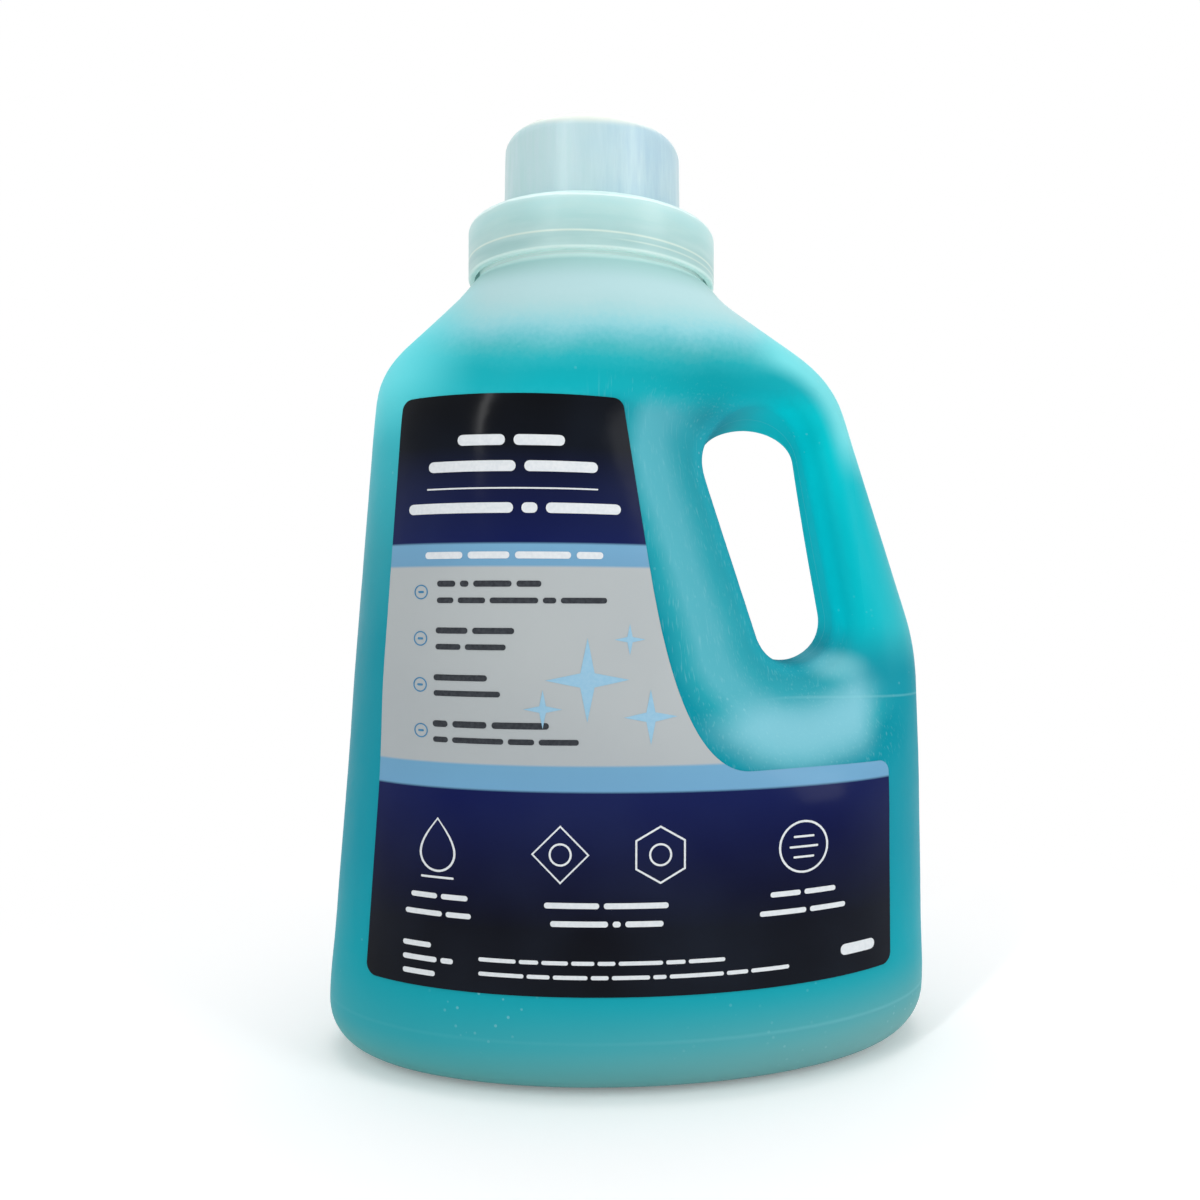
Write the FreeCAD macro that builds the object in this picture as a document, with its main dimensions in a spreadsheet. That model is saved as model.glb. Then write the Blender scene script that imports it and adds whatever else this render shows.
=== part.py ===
import FreeCAD
import Part
import Sketcher
import math
import os
from FreeCAD import Vector

# A blow-moulded laundry bottle with a through handle, its liquid, a pouring collar, a dosing cap and a label.
# Millimetres, +Z up. The origin is the middle of the base, the label faces -Y and the handle is on +X.

doc = FreeCAD.newDocument("laundry_bottle")
sheet = doc.addObject("Spreadsheet::Sheet", "Sizes")

# Outline of the bottle seen from the front: pouring side at -X, handle side at +X
shoulder_height = 198
pour_foot = 79.5
pour_knee = 66.5
pour_knee_height = 173.2
pour_knee_round = 22.4
pour_shoulder = 48
grip_foot = 78.7
grip_hip = 76.9
grip_hip_height = 102.2
grip_hip_round = 66
grip_knuckle = 54.2
grip_knuckle_height = 172.8
grip_knuckle_round = 32
grip_shoulder = 27.4
shoulder_turn_height = 190.5
shoulder_turn_round = 14.6

# Half depths of the bottle, from foot to shoulder
foot_depth = 45.1
waist_depth = 44.3
waist_height = 93.6
waist_round = 197
chest_depth = 38.9
chest_height = 167.4
chest_round = 59.1

# Base and walls
heel_round = 13.79
standing_ring = 7.88
dent_depth = 3
dent_slope = 4
bottle_wall = 1.2
floor_thickness = 1.6

# Handle: finger opening and the thinner grip beside it
opening_top_x = 31.05
opening_top_height = 150.3
opening_top_radius = 13.6
opening_foot_x = 41.5
opening_foot_height = 108.9
opening_foot_radius = 10.9
opening_edge_round = 6.9
column_lap = 2.5
grip_depth = 31.5
grip_side_round = 14.78
ramp_start = 69
ramp_end = 98.5
root_start = 153.7
root_end = 179.3

# Neck
neck_x = -11.13
shoulder_ring = 30
neck_radius = 29.7
neck_wall = 1.6
neck_height = 12.61

# Pouring collar
collar_radius = 32.6
collar_wall = 1.5
collar_length = 14.2
flange_thickness = 1.8
collar_top_round = 2.17
collar_edge_round = 0.6
plug_clearance = 0.25
plug_wall = 1.2
plug_length = 5.91
well_wall = 1.3
well_depth = 18.22
well_lip_round = 0.8
gutter_thickness = 1.3
gutter_rise = 2.46
spout_bore = 11.23
spout_wall = 1.3
spout_length = 29.6
spout_slant = 8.87
spout_slot = 7.88

# Dosing cap
cap_mouth_radius = 23.69
cap_top_radius = 23.1
cap_length = 39.6
cap_wall = 1.5
cap_top_thickness = 1.6
cap_top_round = 3.94
cap_clearance = 0.45
cap_seat_gap = 0.3

# Liquid and label
fill_height = 184.7
film_gap = 0.1
label_thickness = 0.25
label_gap = 0.03
label_corner = 2.56
label_foot_left = -63.9
label_foot_right = 63.3
label_foot_height = 25.31
label_step_right = 62.9
label_step_height = 75.1
label_step_left = 26.59
label_waist_x = 2.96
label_waist_height = 123.1
label_head_left = -55.2
label_head_right = -3.25
label_head_height = 162.1

# Every named size above goes into the sheet under its own name
for row, (name, value) in enumerate([item for item in globals().items() if type(item[1]) in (int, float)], 1):
    sheet.set("A%d" % row, name)
    sheet.set("B%d" % row, str(value))
    sheet.setAlias("B%d" % row, name)
doc.recompute()


# Pieces turned from a profile


def plane(body, role):
    """The body's own origin plane or axis with that role."""
    for item in body.Origin.OriginFeatures:
        if item.Role == role:
            return item
    raise ValueError(role)


def new_body(name):
    body = doc.addObject("PartDesign::Body", name)
    body.Label = name
    return body


def new_sketch(body, name, role):
    sketch = body.newObject("Sketcher::SketchObject", name)
    sketch.AttachmentSupport = [(plane(body, role), "")]
    sketch.MapMode = "FlatFace"
    return sketch


def polygon(sketch, corners):
    """Closes a polygon whose corners stand at the given sheet expressions; a None radius lies on the axis."""
    count = len(corners)
    rough = []
    for k in range(count):
        turn = 2 * math.pi * k / count
        rough.append(Vector(40 + 20 * math.cos(turn), 40 + 20 * math.sin(turn), 0))
    for k in range(count):
        sketch.addGeometry(Part.LineSegment(rough[k], rough[(k + 1) % count]), False)
    for k in range(count):
        sketch.addConstraint(Sketcher.Constraint("Coincident", k, 2, (k + 1) % count, 1))
    for k, (across, up) in enumerate(corners):
        if across is None:
            sketch.addConstraint(Sketcher.Constraint("PointOnObject", k, 1, -2))
        else:
            here = sketch.addConstraint(Sketcher.Constraint("DistanceX", -1, 1, k, 1, rough[k].x))
            sketch.renameConstraint(here, "across_%d" % k)
            sketch.setExpression("Constraints.across_%d" % k, across)
        if up is None:
            sketch.addConstraint(Sketcher.Constraint("PointOnObject", k, 1, -1))
        else:
            here = sketch.addConstraint(Sketcher.Constraint("DistanceY", -1, 1, k, 1, rough[k].y))
            sketch.renameConstraint(here, "up_%d" % k)
            sketch.setExpression("Constraints.up_%d" % k, up)


def turned(body, name, corners):
    """A full turn of the profile about the body's Z axis."""
    sketch = new_sketch(body, name + "_profile", "XZ_Plane")
    polygon(sketch, corners)
    turn = body.newObject("PartDesign::Revolution", name)
    turn.Profile = sketch
    turn.ReferenceAxis = (sketch, ["V_Axis"])
    turn.Angle = 360
    doc.recompute()
    return turn


def rings(shape, radius, height):
    """Names of the round edges of that radius at that height."""
    found = []
    for number, edge in enumerate(shape.Edges, 1):
        if edge.Curve.TypeId != "Part::GeomCircle":
            continue
        same_radius = abs(edge.Curve.Radius - radius) < 0.01
        same_height = abs(edge.Curve.Center.z - height) < 0.01
        if same_radius and same_height:
            found.append("Edge%d" % number)
    if not found:
        raise ValueError("no round edge at %.2f, %.2f" % (radius, height))
    return found


def rounded_ring(body, name, base, radius, height, rule):
    fillet = body.newObject("PartDesign::Fillet", name)
    fillet.Base = (base, rings(base.Shape, radius, height))
    fillet.setExpression("Radius", rule)
    doc.recompute()
    return fillet


# Pouring collar: outer skirt, flange on the neck's rim, plug seal, gutter and slanted spout in one moulding
collar = new_body("spout_collar")
flange_top = "Sizes.well_depth + Sizes.flange_thickness"
skirt_foot = flange_top + " - Sizes.collar_length"
skirt_bore = "Sizes.collar_radius - Sizes.collar_wall"
plug = "Sizes.neck_radius - Sizes.neck_wall - Sizes.plug_clearance"
well = "Sizes.cap_mouth_radius + Sizes.cap_clearance"
spout = "Sizes.spout_bore + Sizes.spout_wall"
collar_body = turned(collar, "collar_turn", [
    ("Sizes.spout_bore", None),
    ("Sizes.spout_bore", "Sizes.spout_length"),
    (spout, "Sizes.spout_length"),
    (spout, "Sizes.gutter_thickness"),
    (well, "Sizes.gutter_thickness + Sizes.gutter_rise"),
    (well, flange_top),
    ("Sizes.collar_radius", flange_top),
    ("Sizes.collar_radius", skirt_foot),
    (skirt_bore, skirt_foot),
    (skirt_bore, "Sizes.well_depth"),
    (plug, "Sizes.well_depth"),
    (plug, "Sizes.well_depth - Sizes.plug_length"),
    (plug + " - Sizes.plug_wall", "Sizes.well_depth - Sizes.plug_length"),
    (plug + " - Sizes.plug_wall", "Sizes.well_depth"),
    (well + " + Sizes.well_wall", "Sizes.well_depth"),
    (well + " + Sizes.well_wall", "Sizes.gutter_rise"),
    (spout, None),
])
lip_height = well_depth + flange_thickness
well_radius = cap_mouth_radius + cap_clearance
collar_top = rounded_ring(
    collar, "collar_top_edge", collar_body, collar_radius, lip_height, "Sizes.collar_top_round"
)
collar_lip = rounded_ring(collar, "well_lip", collar_top, well_radius, lip_height, "Sizes.well_lip_round")
collar_foot = rounded_ring(
    collar, "collar_foot_edge", collar_lip, collar_radius, lip_height - collar_length,
    "Sizes.collar_edge_round"
)

# The spout is highest on the pouring side and slants down towards the handle
spout_reach = spout + " + 1"
slant = new_sketch(collar, "spout_slant_outline", "XZ_Plane")
polygon(slant, [
    ("-(" + spout_reach + ")", "Sizes.spout_length"),
    (spout_reach, "Sizes.spout_length - Sizes.spout_slant"),
    (spout_reach, "Sizes.spout_length + 1"),
    ("-(" + spout_reach + ")", "Sizes.spout_length + 1"),
])
slant_cut = collar.newObject("PartDesign::Pocket", "spout_slant_cut")
slant_cut.Profile = slant
slant_cut.Type = 0
slant_cut.setExpression("Length", "2 * (" + spout_reach + ")")
slant_cut.Midplane = True
doc.recompute()

# A slot in the spout's back lets what runs into the gutter drain back
slot = new_sketch(collar, "drain_slot_outline", "YZ_Plane")
polygon(slot, [
    ("-Sizes.spout_slot / 2", "Sizes.gutter_thickness"),
    ("Sizes.spout_slot / 2", "Sizes.gutter_thickness"),
    ("Sizes.spout_slot / 2", "Sizes.spout_length + 1"),
    ("-Sizes.spout_slot / 2", "Sizes.spout_length + 1"),
])
slot_cut = collar.newObject("PartDesign::Pocket", "drain_slot_cut")
slot_cut.Profile = slot
slot_cut.Type = 0
slot_cut.Reversed = True
slot_cut.setExpression("Length", spout_reach)
doc.recompute()
for cut, before in ((slant_cut, collar_foot), (slot_cut, slant_cut)):
    if cut.Shape.Volume > before.Shape.Volume - 10:
        raise ValueError(cut.Name + " cut nothing")
collar.setExpression("Placement.Base.x", "Sizes.neck_x")
collar.setExpression("Placement.Base.z", "Sizes.shoulder_height + Sizes.neck_height - Sizes.well_depth")

# Dosing cap: a drafted cup, upside down, its mouth inside the collar's well
cap = new_body("dosing_cap")
cap_body = turned(cap, "cap_turn", [
    ("Sizes.cap_mouth_radius - Sizes.cap_wall", None),
    ("Sizes.cap_mouth_radius", None),
    ("Sizes.cap_top_radius", "Sizes.cap_length"),
    (None, "Sizes.cap_length"),
    (None, "Sizes.cap_length - Sizes.cap_top_thickness"),
    ("Sizes.cap_top_radius - Sizes.cap_wall", "Sizes.cap_length - Sizes.cap_top_thickness"),
])
cap_edge = rounded_ring(
    cap, "cap_top_edge", cap_body, cap_top_radius, cap_length, "Sizes.cap_top_round"
)
cap_inner_edge = rounded_ring(
    cap, "cap_inner_edge", cap_edge, cap_top_radius - cap_wall,
    cap_length - cap_top_thickness, "Sizes.cap_top_round - Sizes.cap_wall"
)
cap.setExpression("Placement.Base.x", "Sizes.neck_x")
cap.setExpression(
    "Placement.Base.z",
    "Sizes.shoulder_height + Sizes.neck_height - Sizes.well_depth"
    " + Sizes.gutter_thickness + Sizes.gutter_rise + Sizes.cap_seat_gap",
)
doc.recompute()

# The bottle's free form: rounded outlines, sections between them, one skin over the sections


def outline(corners, rounds):
    """Distance as a function of height along straight runs with rounded corners."""
    def at(height):
        for k in range(1, len(corners) - 1):
            (x1, z1), (x2, z2), (x3, z3) = corners[k - 1:k + 2]
            slope_in = (x2 - x1) / (z2 - z1)
            slope_out = (x3 - x2) / (z3 - z2)
            turn_in = math.atan(slope_in)
            turn_out = math.atan(slope_out)
            reach = rounds[k - 1] * abs(math.tan((turn_out - turn_in) / 2))
            start = z2 - reach * math.cos(turn_in)
            end = z2 + reach * math.cos(turn_out)
            if start <= height <= end:
                u = (height - start) / (end - start)
                from_x = x2 - reach * math.sin(turn_in)
                to_x = x2 + reach * math.sin(turn_out)
                run = end - start
                ends = (2 * u**3 - 3 * u**2 + 1) * from_x + (3 * u**2 - 2 * u**3) * to_x
                slopes = (u**3 - 2 * u**2 + u) * slope_in + (u**3 - u**2) * slope_out
                return ends + run * slopes
        for (x1, z1), (x2, z2) in zip(corners, corners[1:]):
            if height <= z2:
                return x1 + (x2 - x1) * (height - z1) / (z2 - z1)
        return corners[-1][0]
    return at


def fade(value, start, end):
    """Rises smoothly from 0 at the start to 1 at the end."""
    u = min(1.0, max(0.0, (value - start) / (end - start)))
    return u * u * (3 - 2 * u)


pour_side = outline([
    (-pour_foot, 0),
    (-pour_knee, pour_knee_height),
    (-pour_shoulder, shoulder_turn_height),
    (neck_x - shoulder_ring, shoulder_height),
], [pour_knee_round, shoulder_turn_round])
grip_side = outline([
    (grip_foot, 0),
    (grip_hip, grip_hip_height),
    (grip_knuckle, grip_knuckle_height),
    (grip_shoulder, shoulder_turn_height),
    (neck_x + shoulder_ring, shoulder_height),
], [grip_hip_round, grip_knuckle_round, shoulder_turn_round])
front_side = outline([
    (foot_depth, 0),
    (waist_depth, waist_height),
    (chest_depth, chest_height),
    (shoulder_ring, shoulder_height),
], [waist_round, chest_round])

opening_top = Vector(opening_top_x, 0, opening_top_height)
opening_foot = Vector(opening_foot_x, 0, opening_foot_height)


def opening_corners(growth):
    """The four points where the opening's straight sides meet its round ends."""
    line = opening_foot - opening_top
    along = Vector(line.x / line.Length, 0, line.z / line.Length)
    across = Vector(along.z, 0, -along.x)
    wide = opening_top_radius + growth
    narrow = opening_foot_radius + growth
    lean = math.acos((wide - narrow) / line.Length)
    points = []
    for side in (1, -1):
        for centre, radius in ((opening_top, wide), (opening_foot, narrow)):
            points.append(centre + along * (radius * math.cos(lean)) + across * (side * radius * math.sin(lean)))
    return points, along, wide, narrow


corners_of_opening = opening_corners(0)[0]
column_start, column_end = min(
    (corners_of_opening[0:2], corners_of_opening[2:4]), key=lambda pair: pair[0].x
)


def column_edge(height):
    """The column ends just past the opening's near side, and leans with it."""
    lean = (column_end.x - column_start.x) / (column_end.z - column_start.z)
    return column_start.x + (height - column_start.z) * lean + column_lap


def section(height, inset, count=36):
    """A closed level curve: an oval, or beside the opening an oval column that runs out into the thinner grip."""
    def pulled_in(side, sign):
        low = max(height - 0.01, 0.0)
        high = min(height + 0.01, shoulder_height)
        slope = (side(high) - side(low)) / (high - low)
        return side(height) - sign * inset * math.sqrt(1 + slope * slope)
    left = pulled_in(pour_side, -1)
    right = pulled_in(grip_side, 1)
    deep = pulled_in(front_side, 1)
    middle = (left + right) / 2
    half = (right - left) / 2
    beside = fade(height, ramp_start, ramp_end) * (1 - fade(height, root_start, root_end))
    edge = column_edge(height) - inset
    column_half = (edge - left) / 2
    column_middle = (edge + left) / 2
    grip_half = grip_depth / 2 - inset
    side_round = grip_side_round - inset
    points = []
    for k in range(count):
        turn = math.pi + 2 * math.pi * k / count
        x = middle + half * math.cos(turn)
        whole = deep * abs(math.sin(turn))
        column = deep * math.sqrt(max(0.0, 1 - ((x - column_middle) / column_half) ** 2))
        out = max(0.0, (x - right + side_round) / side_round)
        grip = grip_half * math.sqrt(max(0.0, 1 - out * out))
        grip *= fade(x, column_middle, column_middle + 0.8 * column_half)
        joined = (column ** 4 + grip ** 4) ** 0.25
        depth = (1 - beside) * whole + beside * joined
        if k in (0, count // 2):
            depth = 0.0
        points.append(Vector(x, math.copysign(depth, math.sin(turn)), height))
    return points


def levels(inset, base, ceiling):
    """Heights and insets of the sections: round the heel by angle, then closer where the form changes quickly."""
    heel = heel_round - inset
    found = []
    for k in range(6):
        turn = math.pi / 2 * k / 6
        found.append((base + heel * (1 - math.cos(turn)), inset + heel * (1 - math.sin(turn))))
    stops = [base + heel, ramp_start, ramp_end, opening_top_height, ceiling]
    steps = [4, 6, 6, 12]
    for low, high, count in zip(stops, stops[1:], steps):
        for k in range(count):
            found.append((low + (high - low) * k / count, inset))
    found.append((ceiling, inset))
    return found


def skin(inset, base, ceiling):
    """The solid under one smooth skin over all the sections."""
    wires = []
    for height, drawn_in in levels(inset, base, ceiling):
        curve = Part.BSplineCurve()
        curve.interpolate(Points=section(height, drawn_in), PeriodicFlag=True)
        wires.append(Part.Wire([curve.toShape()]))
    return Part.makeLoft(wires, True, False)


def opening_tool(growth):
    """A long slot through the bottle, front to back."""
    points, along, wide, narrow = opening_corners(growth)
    near_top, near_foot, far_top, far_foot = points
    edges = [
        Part.LineSegment(near_top, near_foot),
        Part.Arc(near_foot, opening_foot + along * narrow, far_foot),
        Part.LineSegment(far_foot, far_top),
        Part.Arc(far_top, opening_top - along * wide, near_top),
    ]
    face = Part.Face(Part.Wire([edge.toShape() for edge in edges]))
    reach = 2 * foot_depth
    face.translate(Vector(0, -reach, 0))
    return face.extrude(Vector(0, 2 * reach, 0))


def dent_tool(growth, base):
    """The raised middle of the base, drawn in from the standing ring."""
    wires = []
    for level, slope in ((0, 0), (dent_depth + base, dent_slope)):
        margin = heel_round + standing_ring + slope - growth
        long_half = (pour_foot + grip_foot) / 2 - margin
        short_half = foot_depth - margin
        centre = Vector((grip_foot - pour_foot) / 2, 0, level)
        oval = Part.Ellipse(centre, long_half, short_half)
        wires.append(Part.Wire([oval.toShape()]))
    return Part.makeLoft(wires, True, True)


def form(inset, base):
    """The whole bottle form drawn in by the inset, with heel, base dent and handle opening."""
    solid = skin(inset, base, shoulder_height - inset)
    solid = solid.cut(opening_tool(inset))
    rims = []
    for edge in solid.Edges:
        box = edge.BoundBox
        centre = edge.CenterOfMass
        beside = box.XMin > column_start.x - 5 and box.XMax < grip_knuckle + 5
        between = opening_foot.z - 30 < centre.z < opening_top.z + 30
        if beside and between and abs(centre.y) > 3 and box.YLength < 20:
            rims.append(edge)
    solid = solid.makeFillet(opening_edge_round - inset, rims)
    return solid.cut(dent_tool(inset, base))


def neck_tube(radius, foot, end):
    return Part.makeCylinder(radius, end - foot, Vector(neck_x, 0, foot))


def single(shape):
    """The one solid of a shape."""
    if len(shape.Solids) != 1:
        raise ValueError("%d solids" % len(shape.Solids))
    return shape.Solids[0]


def free_piece(name, shape):
    piece = doc.addObject("Part::Feature", name)
    piece.Label = name
    piece.Shape = single(shape)
    piece.Placement = FreeCAD.Placement()
    return piece


# Bottle: outer form and neck, less the hollow and the neck's bore
neck_end = shoulder_height + neck_height
outer = form(0, 0).fuse(neck_tube(neck_radius, shoulder_height - 2, neck_end))
bore = neck_radius - neck_wall
hollow = form(bottle_wall, floor_thickness).fuse(neck_tube(bore, shoulder_height - 5, neck_end))


def lined(outside, inside, mouth):
    """One solid between an outer and an inner form that both end flat at the mouth."""
    faces = []
    mouths = []
    for shape in (outside, inside):
        for face in shape.Faces:
            if face.BoundBox.ZMin > mouth - 0.01:
                mouths.append(face.OuterWire)
            else:
                faces.append(face)
    faces.append(Part.Face(mouths))
    shell = Part.makeCompound(faces)
    shell.sewShape()
    solid = Part.Solid(shell.Shells[0])
    solid.fix(0.001, 0.001, 0.01)
    if solid.Volume < 0:
        solid.reverse()
    if abs(solid.Volume - (outside.Volume - inside.Volume)) > 20:
        raise ValueError("the wall is not closed")
    return solid


bottle = free_piece("bottle", lined(outer, hollow, neck_end))

# Liquid: the hollow up to the fill line, a hair inside the wall
width = pour_foot + grip_foot
fill = Part.makeBox(2 * width, width, fill_height, Vector(-width, -width / 2, 0))
detergent = free_piece("detergent", form(bottle_wall + film_gap, floor_thickness + film_gap).common(fill))

# Label: a thin film on the front, cut to a leg beside the handle


def label_outline():
    foot_left = Vector(label_foot_left, 0, label_foot_height)
    foot_right = Vector(label_foot_right, 0, label_foot_height)
    step_right = Vector(label_step_right, 0, label_step_height)
    step_left = Vector(label_step_left, 0, label_step_height)
    waist = Vector(label_waist_x, 0, label_waist_height)
    head_right = Vector(label_head_right, 0, label_head_height)
    head_left = Vector(label_head_left, 0, label_head_height)
    rise = (waist.z - step_left.z) * 0.63
    lean = (waist.x - head_right.x) / (head_right.z - waist.z)
    curve = Part.BezierCurve()
    curve.setPoles([
        waist,
        Vector(waist.x + lean * rise, 0, waist.z - rise),
        Vector(step_left.x - (step_left.x - waist.x) * 0.5, 0, step_left.z),
        step_left,
    ])
    edges = [
        Part.LineSegment(foot_left, foot_right).toShape(),
        Part.LineSegment(foot_right, step_right).toShape(),
        Part.LineSegment(step_right, step_left).toShape(),
        curve.toShape(),
        Part.LineSegment(waist, head_right).toShape(),
        Part.LineSegment(head_right, head_left).toShape(),
        Part.LineSegment(head_left, foot_left).toShape(),
    ]
    return Part.Wire(Part.__sortEdges__(edges))


label_depth = foot_depth + 10
label_tool = Part.Face(label_outline()).extrude(Vector(0, -label_depth, 0))
label_corners = []
for edge in label_tool.Edges:
    upright = edge.BoundBox.YLength > label_depth - 0.1
    smooth = abs(edge.CenterOfMass.x - label_waist_x) < 0.1
    smooth = smooth or abs(edge.CenterOfMass.x - label_step_left) < 0.1
    if upright and not smooth:
        label_corners.append(edge)
label_tool = label_tool.makeFillet(label_corner, label_corners)


def film():
    """The front of a skin a hair outside the wall, cut to the outline and thickened; farther off if not whole."""
    for step in (1, 2, 3):
        outside = skin(-step * label_gap, 0, shoulder_height)
        front_face = max(outside.Faces, key=lambda face: face.Area)
        patch = label_tool.common(front_face).Faces[0]
        thick = patch.makeOffsetShape(label_thickness, 0.001, fill=True)
        if thick.isValid():
            return thick
    raise ValueError("the label is not whole")


label = free_piece("front_label", film())

doc.recompute()

# Every object is sound before anything is written
for item in doc.Objects:
    if "Invalid" in item.State or "Error" in item.State:
        raise ValueError(item.Name + " failed")
os.makedirs("parts", exist_ok=True)
for piece in (bottle, detergent, collar, cap, label):
    if piece.Shape.isNull() or not piece.Shape.isValid():
        raise ValueError(piece.Label + " is not sound")
    piece.Shape.exportStep("parts/" + piece.Label + ".step")
    box = piece.Shape.BoundBox
    print(piece.Label, round(piece.Shape.Volume), len(piece.Shape.Faces),
          [round(v, 2) for v in (box.XMin, box.XMax, box.YMin, box.YMax, box.ZMin, box.ZMax)])
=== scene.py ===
import math
import bpy
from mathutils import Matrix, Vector


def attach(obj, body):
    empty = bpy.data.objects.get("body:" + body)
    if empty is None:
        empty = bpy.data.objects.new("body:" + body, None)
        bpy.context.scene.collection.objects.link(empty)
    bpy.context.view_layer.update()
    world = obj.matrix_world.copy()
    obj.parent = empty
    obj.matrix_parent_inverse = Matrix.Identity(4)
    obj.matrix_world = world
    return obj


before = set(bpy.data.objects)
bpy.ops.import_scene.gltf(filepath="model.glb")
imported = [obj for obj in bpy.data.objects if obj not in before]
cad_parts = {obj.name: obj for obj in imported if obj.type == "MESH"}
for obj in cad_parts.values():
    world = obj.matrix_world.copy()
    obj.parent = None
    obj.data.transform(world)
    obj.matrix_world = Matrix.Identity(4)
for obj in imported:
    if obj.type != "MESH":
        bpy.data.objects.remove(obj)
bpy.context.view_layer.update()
bpy.ops.object.select_all(action="DESELECT")
MM = 0.001

# Places that the materials follow, in millimetres
OPENING_TOP = (31.05, 0.0, 150.3)  # finger opening, a slot with round ends: the middle of its top end,
OPENING_RUN = (10.45, 0.0, -41.4)  # the way from there to its foot,
OPENING_RADII = (13.6, 10.9)       # and the radius at both ends
HANDLE_SWELL = (52.0, 0.0, 98.0)   # the handle's foot swells out here
INSERT_LINE = 90.2                 # height of the line that the mould's handle insert leaves
HEEL_RING = 14.7                   # height of the ring that the mould's base part leaves
NECK_X = -11.13                    # axis of neck, collar and cap
COLLAR_SHOULDER = 211.5            # height of the moulded shoulder under the collar's rim
THREAD_HEIGHT = 201.6              # height of the thread behind the collar's skirt, on the handle side
THREAD_CLIMB = 0.48                # its climb for each radian
THREAD_PITCH = 1.6                 # from one turn to the next, as they show

# Print on the label, in metres
INK_START = -0.06                  # it is drawn in front of the label and pushed back onto it
INK_LIFT = 0.00004
INK_THICKNESS = 0.00003


def linear(code):
    """A colour written in sRGB hex, as the linear values that a shader takes."""
    values = [int(code[k:k + 2], 16) / 255 for k in (1, 3, 5)]
    return tuple(v / 12.92 if v <= 0.04045 else ((v + 0.055) / 1.055) ** 2.4 for v in values) + (1.0,)


def add(tree, kind, inputs=(), out=0, stops=(), **settings):
    """Adds a node with its settings, sets or links its inputs, and hands back one output."""
    node = tree.nodes.new("ShaderNode" + kind)
    for name, value in settings.items():
        setattr(node, name, value)
    for key, value in (inputs.items() if isinstance(inputs, dict) else enumerate(inputs)):
        if isinstance(value, bpy.types.NodeSocket):
            tree.links.new(value, node.inputs[key])
        elif value is not None:
            node.inputs[key].default_value = linear(value) if isinstance(value, str) else value
    for k, (position, code) in enumerate(stops):
        stop = node.color_ramp.elements.new(position) if k > 1 else node.color_ramp.elements[k]
        stop.position = position
        stop.color = linear(code)
    return node.outputs[out] if node.outputs else node


def plastic(name, sockets):
    """A new material with its shader, and the surface point in millimetres with its x, y and z."""
    made = bpy.data.materials.new(name)
    made.use_nodes = True
    tree = made.node_tree
    tree.nodes.clear()
    surface = add(tree, "BsdfPrincipled", sockets)
    add(tree, "OutputMaterial", {"Surface": surface})
    coords = add(tree, "TexCoord", out="Object")
    point = add(tree, "VectorMath", {0: coords, "Scale": 1000.0}, operation="SCALE")
    x = add(tree, "SeparateXYZ", (point,), out=0)
    y = add(tree, "SeparateXYZ", (point,), out=1)
    z = add(tree, "SeparateXYZ", (point,), out=2)
    return made, tree, surface.node, point, x, y, z


# Materials


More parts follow.
